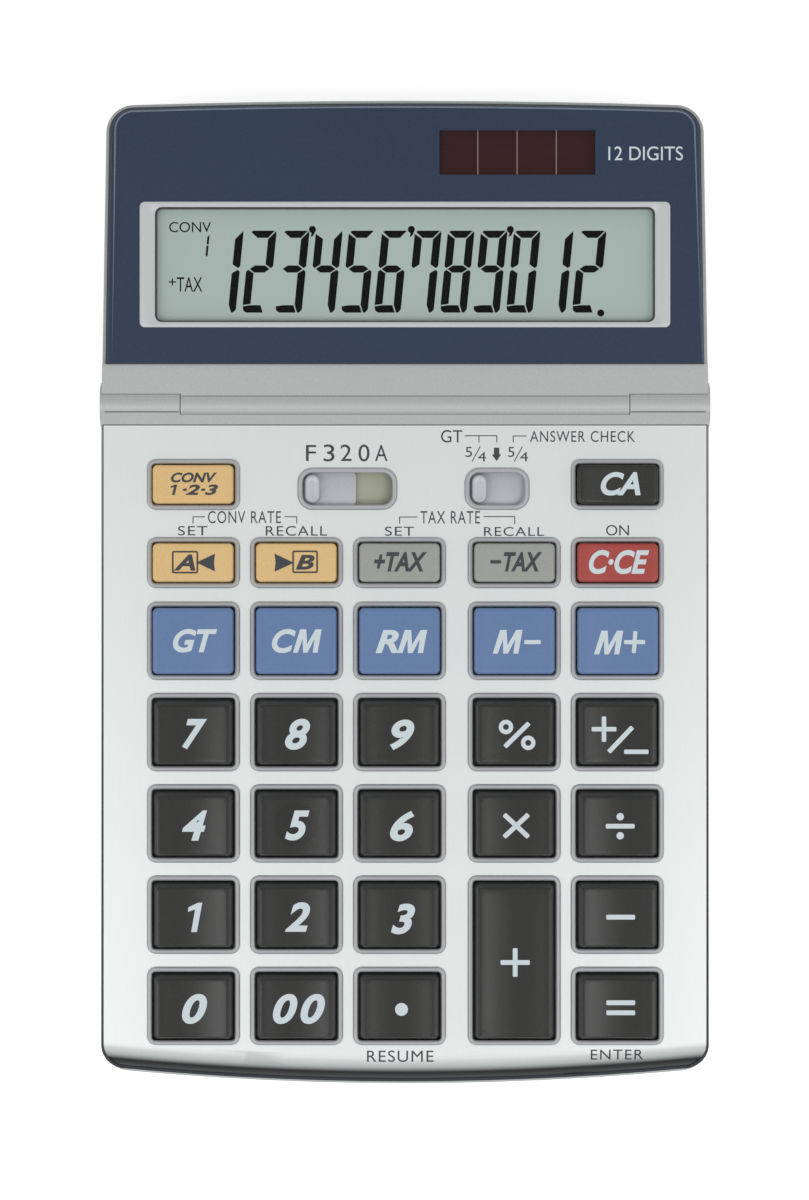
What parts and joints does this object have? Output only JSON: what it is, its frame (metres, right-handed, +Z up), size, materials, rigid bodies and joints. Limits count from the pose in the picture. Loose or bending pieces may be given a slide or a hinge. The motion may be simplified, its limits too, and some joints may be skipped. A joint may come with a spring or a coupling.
{
  "type": "desktop calculator",
  "caption": "Wedge-shaped desktop calculator with a keyboard deck, slide switches and a slim display unit that tilts on a barrel hinge along its rear.",
  "frame": {"origin": "under the middle of the whole calculator's length and width, on the table that its rubber feet stand on", "axes": "+X to the user's right, +Y away from the user towards the display, +Z up; the keyboard leans back 3.5 degrees about X"},
  "size_m": [0.1098, 0.1772, 0.0216],
  "materials": {
    "case_grey": "fine satin",
    "face_sheet": "anodised satin",
    "panel_blue": "polished",
    "frame_silver": "silver satin",
    "window_clear": "clear",
    "lcd_glass": "grey-green reflective",
    "solar_glass": "dark brown",
    "key_black": "satin",
    "key_blue": "satin",
    "key_orange": "satin",
    "key_grey": "satin",
    "key_red": "satin",
    "slider_grey": "satin",
    "rubber_grey": "matte",
    "rubber_black": "matte",
    "board_green": "solder mask",
    "chip_black": "moulded",
    "contact_brass": "plated",
    "steel": "plated",
    "ribbon_white": "flexible film"
  },
  "bodies": {
    "base": {"base_top": "case_grey", "base_bottom": "case_grey", "face_plate": "face_sheet", "rubber_keymat": "rubber_grey", "keyboard_board": "board_green", "controller_chip": "chip_black", "case_screws": "steel", "short_screws": "steel", "battery_cover": "case_grey", "coin_cell": "steel", "battery_contacts": "contact_brass", "rubber_feet": "rubber_black", "hinge_pins": "steel", "ribbon_cable": "ribbon_white"},
    "display": {"display_front": "case_grey", "display_back": "case_grey", "display_panel": "panel_blue", "window_frame": "frame_silver", "window_pane": "window_clear", "lcd_cell": "lcd_glass", "contact_strips": "rubber_black", "display_board": "board_green", "solar_cell": "solar_glass", "display_screws": "steel", "friction_sleeves": "steel"},
    "decimal_switch": {"decimal_slider": "slider_grey", "decimal_wiper": "contact_brass"},
    "rounding_switch": {"rounding_slider": "slider_grey", "rounding_wiper": "contact_brass"},
    "key_convert_cap": {"key_convert": "key_orange"},
    "key_clear_all_cap": {"key_clear_all": "key_black"},
    "key_rate_a_cap": {"key_rate_a": "key_orange"},
    "key_rate_b_cap": {"key_rate_b": "key_orange"},
    "key_tax_plus_cap": {"key_tax_plus": "key_grey"},
    "key_tax_minus_cap": {"key_tax_minus": "key_grey"},
    "key_clear_cap": {"key_clear": "key_red"},
    "key_grand_total_cap": {"key_grand_total": "key_blue"},
    "key_memory_clear_cap": {"key_memory_clear": "key_blue"},
    "key_memory_recall_cap": {"key_memory_recall": "key_blue"},
    "key_memory_minus_cap": {"key_memory_minus": "key_blue"},
    "key_memory_plus_cap": {"key_memory_plus": "key_blue"},
    "key_7_cap": {"key_7": "key_black"},
    "key_8_cap": {"key_8": "key_black"},
    "key_9_cap": {"key_9": "key_black"},
    "key_percent_cap": {"key_percent": "key_black"},
    "key_sign_cap": {"key_sign": "key_black"},
    "key_4_cap": {"key_4": "key_black"},
    "key_5_cap": {"key_5": "key_black"},
    "key_6_cap": {"key_6": "key_black"},
    "key_multiply_cap": {"key_multiply": "key_black"},
    "key_divide_cap": {"key_divide": "key_black"},
    "key_1_cap": {"key_1": "key_black"},
    "key_2_cap": {"key_2": "key_black"},
    "key_3_cap": {"key_3": "key_black"},
    "key_minus_cap": {"key_minus": "key_black"},
    "key_0_cap": {"key_0": "key_black"},
    "key_00_cap": {"key_00": "key_black"},
    "key_point_cap": {"key_point": "key_black"},
    "key_plus_cap": {"key_plus": "key_black"},
    "key_equals_cap": {"key_equals": "key_black"}
  },
  "joints": [
    {"name": "display_tilt", "type": "hinge", "parent": "base", "child": "display", "pos_m": [0, 0.03391, 0.0143], "axis": [1, 0, 0], "range_deg": [0, 50], "deforming": ["ribbon_cable"]},
    {"name": "decimal_slide", "type": "slide", "parent": "base", "child": "decimal_switch", "axis": [1, 0, 0], "range_m": [0, 0.01252]},
    {"name": "rounding_slide", "type": "slide", "parent": "base", "child": "rounding_switch", "axis": [1, 0, 0], "range_m": [0, 0.00626]},
    {"name": "press_convert", "type": "slide", "parent": "base", "child": "key_convert_cap", "axis": [0, 0.061, -0.9981], "range_m": [0, 0.0015], "stiffness_N_per_m": 400, "springref_m": -0.0005, "deforming": ["rubber_keymat"]},
    {"name": "press_clear_all", "type": "slide", "parent": "base", "child": "key_clear_all_cap", "axis": [0, 0.061, -0.9981], "range_m": [0, 0.0015], "stiffness_N_per_m": 400, "springref_m": -0.0005, "deforming": ["rubber_keymat"]},
    {"name": "press_rate_a", "type": "slide", "parent": "base", "child": "key_rate_a_cap", "axis": [0, 0.061, -0.9981], "range_m": [0, 0.0015], "stiffness_N_per_m": 400, "springref_m": -0.0005, "deforming": ["rubber_keymat"]},
    {"name": "press_rate_b", "type": "slide", "parent": "base", "child": "key_rate_b_cap", "axis": [0, 0.061, -0.9981], "range_m": [0, 0.0015], "stiffness_N_per_m": 400, "springref_m": -0.0005, "deforming": ["rubber_keymat"]},
    {"name": "press_tax_plus", "type": "slide", "parent": "base", "child": "key_tax_plus_cap", "axis": [0, 0.061, -0.9981], "range_m": [0, 0.0015], "stiffness_N_per_m": 400, "springref_m": -0.0005, "deforming": ["rubber_keymat"]},
    {"name": "press_tax_minus", "type": "slide", "parent": "base", "child": "key_tax_minus_cap", "axis": [0, 0.061, -0.9981], "range_m": [0, 0.0015], "stiffness_N_per_m": 400, "springref_m": -0.0005, "deforming": ["rubber_keymat"]},
    {"name": "press_clear", "type": "slide", "parent": "base", "child": "key_clear_cap", "axis": [0, 0.061, -0.9981], "range_m": [0, 0.0015], "stiffness_N_per_m": 400, "springref_m": -0.0005, "deforming": ["rubber_keymat"]},
    {"name": "press_grand_total", "type": "slide", "parent": "base", "child": "key_grand_total_cap", "axis": [0, 0.061, -0.9981], "range_m": [0, 0.0015], "stiffness_N_per_m": 400, "springref_m": -0.0005, "deforming": ["rubber_keymat"]},
    {"name": "press_memory_clear", "type": "slide", "parent": "base", "child": "key_memory_clear_cap", "axis": [0, 0.061, -0.9981], "range_m": [0, 0.0015], "stiffness_N_per_m": 400, "springref_m": -0.0005, "deforming": ["rubber_keymat"]},
    {"name": "press_memory_recall", "type": "slide", "parent": "base", "child": "key_memory_recall_cap", "axis": [0, 0.061, -0.9981], "range_m": [0, 0.0015], "stiffness_N_per_m": 400, "springref_m": -0.0005, "deforming": ["rubber_keymat"]},
    {"name": "press_memory_minus", "type": "slide", "parent": "base", "child": "key_memory_minus_cap", "axis": [0, 0.061, -0.9981], "range_m": [0, 0.0015], "stiffness_N_per_m": 400, "springref_m": -0.0005, "deforming": ["rubber_keymat"]},
    {"name": "press_memory_plus", "type": "slide", "parent": "base", "child": "key_memory_plus_cap", "axis": [0, 0.061, -0.9981], "range_m": [0, 0.0015], "stiffness_N_per_m": 400, "springref_m": -0.0005, "deforming": ["rubber_keymat"]},
    {"name": "press_7", "type": "slide", "parent": "base", "child": "key_7_cap", "axis": [0, 0.061, -0.9981], "range_m": [0, 0.0015], "stiffness_N_per_m": 400, "springref_m": -0.0005, "deforming": ["rubber_keymat"]},
    {"name": "press_8", "type": "slide", "parent": "base", "child": "key_8_cap", "axis": [0, 0.061, -0.9981], "range_m": [0, 0.0015], "stiffness_N_per_m": 400, "springref_m": -0.0005, "deforming": ["rubber_keymat"]},
    {"name": "press_9", "type": "slide", "parent": "base", "child": "key_9_cap", "axis": [0, 0.061, -0.9981], "range_m": [0, 0.0015], "stiffness_N_per_m": 400, "springref_m": -0.0005, "deforming": ["rubber_keymat"]},
    {"name": "press_percent", "type": "slide", "parent": "base", "child": "key_percent_cap", "axis": [0, 0.061, -0.9981], "range_m": [0, 0.0015], "stiffness_N_per_m": 400, "springref_m": -0.0005, "deforming": ["rubber_keymat"]},
    {"name": "press_sign", "type": "slide", "parent": "base", "child": "key_sign_cap", "axis": [0, 0.061, -0.9981], "range_m": [0, 0.0015], "stiffness_N_per_m": 400, "springref_m": -0.0005, "deforming": ["rubber_keymat"]},
    {"name": "press_4", "type": "slide", "parent": "base", "child": "key_4_cap", "axis": [0, 0.061, -0.9981], "range_m": [0, 0.0015], "stiffness_N_per_m": 400, "springref_m": -0.0005, "deforming": ["rubber_keymat"]},
    {"name": "press_5", "type": "slide", "parent": "base", "child": "key_5_cap", "axis": [0, 0.061, -0.9981], "range_m": [0, 0.0015], "stiffness_N_per_m": 400, "springref_m": -0.0005, "deforming": ["rubber_keymat"]},
    {"name": "press_6", "type": "slide", "parent": "base", "child": "key_6_cap", "axis": [0, 0.061, -0.9981], "range_m": [0, 0.0015], "stiffness_N_per_m": 400, "springref_m": -0.0005, "deforming": ["rubber_keymat"]},
    {"name": "press_multiply", "type": "slide", "parent": "base", "child": "key_multiply_cap", "axis": [0, 0.061, -0.9981], "range_m": [0, 0.0015], "stiffness_N_per_m": 400, "springref_m": -0.0005, "deforming": ["rubber_keymat"]},
    {"name": "press_divide", "type": "slide", "parent": "base", "child": "key_divide_cap", "axis": [0, 0.061, -0.9981], "range_m": [0, 0.0015], "stiffness_N_per_m": 400, "springref_m": -0.0005, "deforming": ["rubber_keymat"]},
    {"name": "press_1", "type": "slide", "parent": "base", "child": "key_1_cap", "axis": [0, 0.061, -0.9981], "range_m": [0, 0.0015], "stiffness_N_per_m": 400, "springref_m": -0.0005, "deforming": ["rubber_keymat"]},
    {"name": "press_2", "type": "slide", "parent": "base", "child": "key_2_cap", "axis": [0, 0.061, -0.9981], "range_m": [0, 0.0015], "stiffness_N_per_m": 400, "springref_m": -0.0005, "deforming": ["rubber_keymat"]},
    {"name": "press_3", "type": "slide", "parent": "base", "child": "key_3_cap", "axis": [0, 0.061, -0.9981], "range_m": [0, 0.0015], "stiffness_N_per_m": 400, "springref_m": -0.0005, "deforming": ["rubber_keymat"]},
    {"name": "press_minus", "type": "slide", "parent": "base", "child": "key_minus_cap", "axis": [0, 0.061, -0.9981], "range_m": [0, 0.0015], "stiffness_N_per_m": 400, "springref_m": -0.0005, "deforming": ["rubber_keymat"]},
    {"name": "press_0", "type": "slide", "parent": "base", "child": "key_0_cap", "axis": [0, 0.061, -0.9981], "range_m": [0, 0.0015], "stiffness_N_per_m": 400, "springref_m": -0.0005, "deforming": ["rubber_keymat"]},
    {"name": "press_00", "type": "slide", "parent": "base", "child": "key_00_cap", "axis": [0, 0.061, -0.9981], "range_m": [0, 0.0015], "stiffness_N_per_m": 400, "springref_m": -0.0005, "deforming": ["rubber_keymat"]},
    {"name": "press_point", "type": "slide", "parent": "base", "child": "key_point_cap", "axis": [0, 0.061, -0.9981], "range_m": [0, 0.0015], "stiffness_N_per_m": 400, "springref_m": -0.0005, "deforming": ["rubber_keymat"]},
    {"name": "press_plus", "type": "slide", "parent": "base", "child": "key_plus_cap", "axis": [0, 0.061, -0.9981], "range_m": [0, 0.0015], "stiffness_N_per_m": 400, "springref_m": -0.0005, "deforming": ["rubber_keymat"]},
    {"name": "press_equals", "type": "slide", "parent": "base", "child": "key_equals_cap", "axis": [0, 0.061, -0.9981], "range_m": [0, 0.0015], "stiffness_N_per_m": 400, "springref_m": -0.0005, "deforming": ["rubber_keymat"]}
  ]
}
